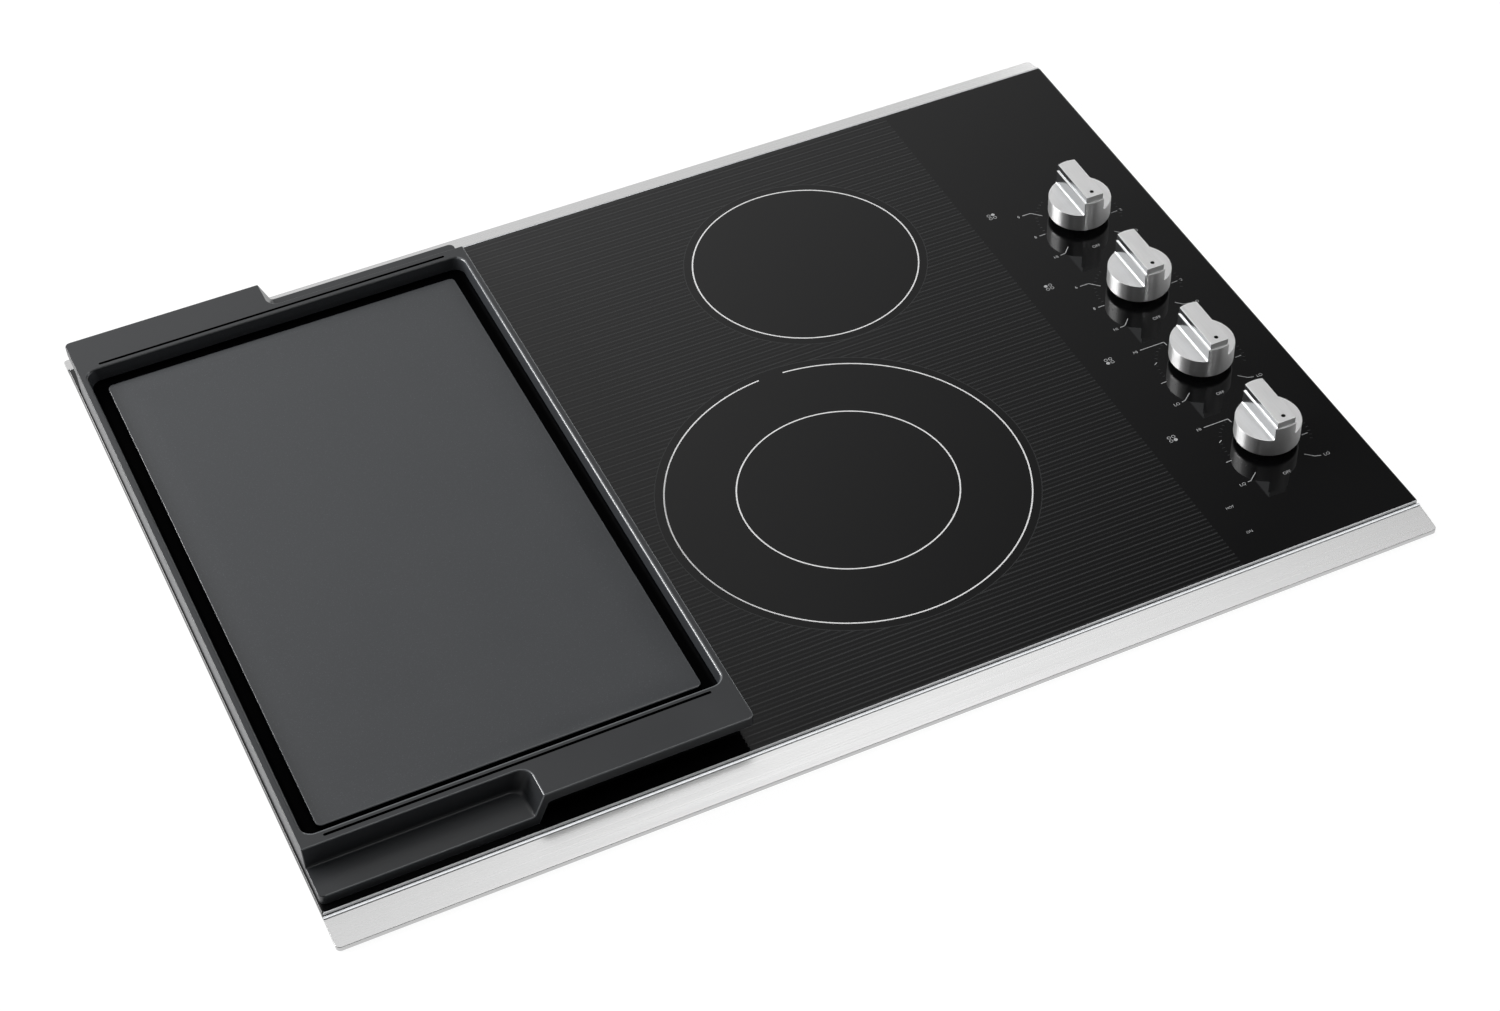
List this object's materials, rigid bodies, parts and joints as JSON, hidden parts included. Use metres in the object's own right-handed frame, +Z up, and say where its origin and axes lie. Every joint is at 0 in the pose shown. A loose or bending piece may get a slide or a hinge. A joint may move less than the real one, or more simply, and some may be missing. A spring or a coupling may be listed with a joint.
{
  "type": "drop-in electric cooktop with griddle",
  "caption": "Drop-in radiant electric cooktop: black glass with steel edge trims, push-to-turn side knobs, and a lift-off reversible griddle over the left zones.",
  "frame": {"origin": "middle of the part's outline, on the underside of the burner box", "axes": "+X to the right along the front trim, +Y to the back, +Z up out of the glass"},
  "size_m": [0.7826, 0.582, 0.1204],
  "materials": {
    "black_glass": "polished black glass ceramic with a fine printed line pattern",
    "trim_steel": "stainless steel, brushed along the trim",
    "foam_gasket": "closed-cell foam strip",
    "silicone_bond": "silicone adhesive",
    "box_steel": "galvanised sheet",
    "bracket_steel": "galvanised sheet",
    "screw_steel": "zinc-plated steel",
    "spring_steel": "tempered spring strip",
    "pan_steel": "aluminised steel dish",
    "fibre_insulation": "pressed ceramic fibre",
    "heater_alloy": "oxidised heater strip",
    "limiter_ceramic": "steatite block and rod",
    "switch_plastic": "moulded phenolic",
    "cam_plastic": "moulded nylon",
    "terminal_brass": "plain brass",
    "lamp_lens": "clear red lens",
    "seal_rubber": "moulded silicone",
    "connector_zinc": "die-cast fitting",
    "lead_insulation": "braided high-temperature sleeve",
    "shaft_steel": "drawn steel",
    "knob_steel": "satin stainless",
    "griddle_coat": "cast aluminium with a matt charcoal non-stick coat"
  },
  "bodies": {
    "cooktop": {"bridge_element_insulation": "fibre_insulation", "bridge_element_pan": "pan_steel", "bridge_element_ribbon": "heater_alloy", "burner_box": "box_steel", "chassis_screws": "screw_steel", "clamp_screws": "screw_steel", "conduit_connector": "connector_zinc", "conduit_locknut": "connector_zinc", "counter_clamps": "bracket_steel", "counter_gasket": "foam_gasket", "dual_element_insulation": "fibre_insulation", "dual_element_pan": "pan_steel", "dual_element_ribbon": "heater_alloy", "element_limiters": "limiter_ceramic", "element_rails": "bracket_steel", "element_springs": "spring_steel", "front_trim": "trim_steel", "glass_bond": "silicone_bond", "glass_rails": "bracket_steel", "glass_top": "black_glass", "indicator_lamps": "lamp_lens", "left_front_element_insulation": "fibre_insulation", "left_front_element_pan": "pan_steel", "left_front_element_ribbon": "heater_alloy", "left_rear_element_insulation": "fibre_insulation", "left_rear_element_pan": "pan_steel", "left_rear_element_ribbon": "heater_alloy", "rear_trim": "trim_steel", "return_spring_1": "spring_steel", "return_spring_2": "spring_steel", "return_spring_3": "spring_steel", "return_spring_4": "spring_steel", "right_rear_element_insulation": "fibre_insulation", "right_rear_element_pan": "pan_steel", "right_rear_element_ribbon": "heater_alloy", "shaft_seals": "seal_rubber", "switch_bodies": "switch_plastic", "switch_bracket": "bracket_steel", "switch_screws": "screw_steel", "switch_tabs": "terminal_brass", "terminal_block": "switch_plastic", "terminal_screws": "terminal_brass", "wiring": "lead_insulation"},
    "cam_1": {"switch_cam_1": "cam_plastic"},
    "control_1": {"knob_1": "knob_steel", "knob_shaft_1": "shaft_steel"},
    "cam_2": {"switch_cam_2": "cam_plastic"},
    "control_2": {"knob_2": "knob_steel", "knob_shaft_2": "shaft_steel"},
    "cam_3": {"switch_cam_3": "cam_plastic"},
    "control_3": {"knob_3": "knob_steel", "knob_shaft_3": "shaft_steel"},
    "cam_4": {"switch_cam_4": "cam_plastic"},
    "control_4": {"knob_4": "knob_steel", "knob_shaft_4": "shaft_steel"},
    "griddle": {"griddle": "griddle_coat"}
  },
  "joints": [
    {"name": "knob_1_turn", "type": "hinge", "parent": "cooktop", "child": "cam_1", "pos_m": [0.3306, 0.1004, 0.0532], "axis": [0, 0, 1], "continuous": true},
    {"name": "knob_1_push", "type": "slide", "parent": "cam_1", "child": "control_1", "axis": [0, 0, -1], "range_m": [0, 0.003], "stiffness_N_per_m": 1500, "springref_m": -0.003, "deforming": ["return_spring_1"]},
    {"name": "knob_2_turn", "type": "hinge", "parent": "cooktop", "child": "cam_2", "pos_m": [0.3306, 0.0111, 0.0532], "axis": [0, 0, 1], "continuous": true},
    {"name": "knob_2_push", "type": "slide", "parent": "cam_2", "child": "control_2", "axis": [0, 0, -1], "range_m": [0, 0.003], "stiffness_N_per_m": 1500, "springref_m": -0.003, "deforming": ["return_spring_2"]},
    {"name": "knob_3_turn", "type": "hinge", "parent": "cooktop", "child": "cam_3", "pos_m": [0.3306, -0.0782, 0.0532], "axis": [0, 0, 1], "continuous": true},
    {"name": "knob_3_push", "type": "slide", "parent": "cam_3", "child": "control_3", "axis": [0, 0, -1], "range_m": [0, 0.003], "stiffness_N_per_m": 1500, "springref_m": -0.003, "deforming": ["return_spring_3"]},
    {"name": "knob_4_turn", "type": "hinge", "parent": "cooktop", "child": "cam_4", "pos_m": [0.3306, -0.1675, 0.0532], "axis": [0, 0, 1], "continuous": true},
    {"name": "knob_4_push", "type": "slide", "parent": "cam_4", "child": "control_4", "axis": [0, 0, -1], "range_m": [0, 0.003], "stiffness_N_per_m": 1500, "springref_m": -0.003, "deforming": ["return_spring_4"]},
    {"name": "griddle_lift", "type": "slide", "parent": "cooktop", "child": "griddle", "axis": [0, 0, 1], "range_m": [0, 0.15]}
  ]
}
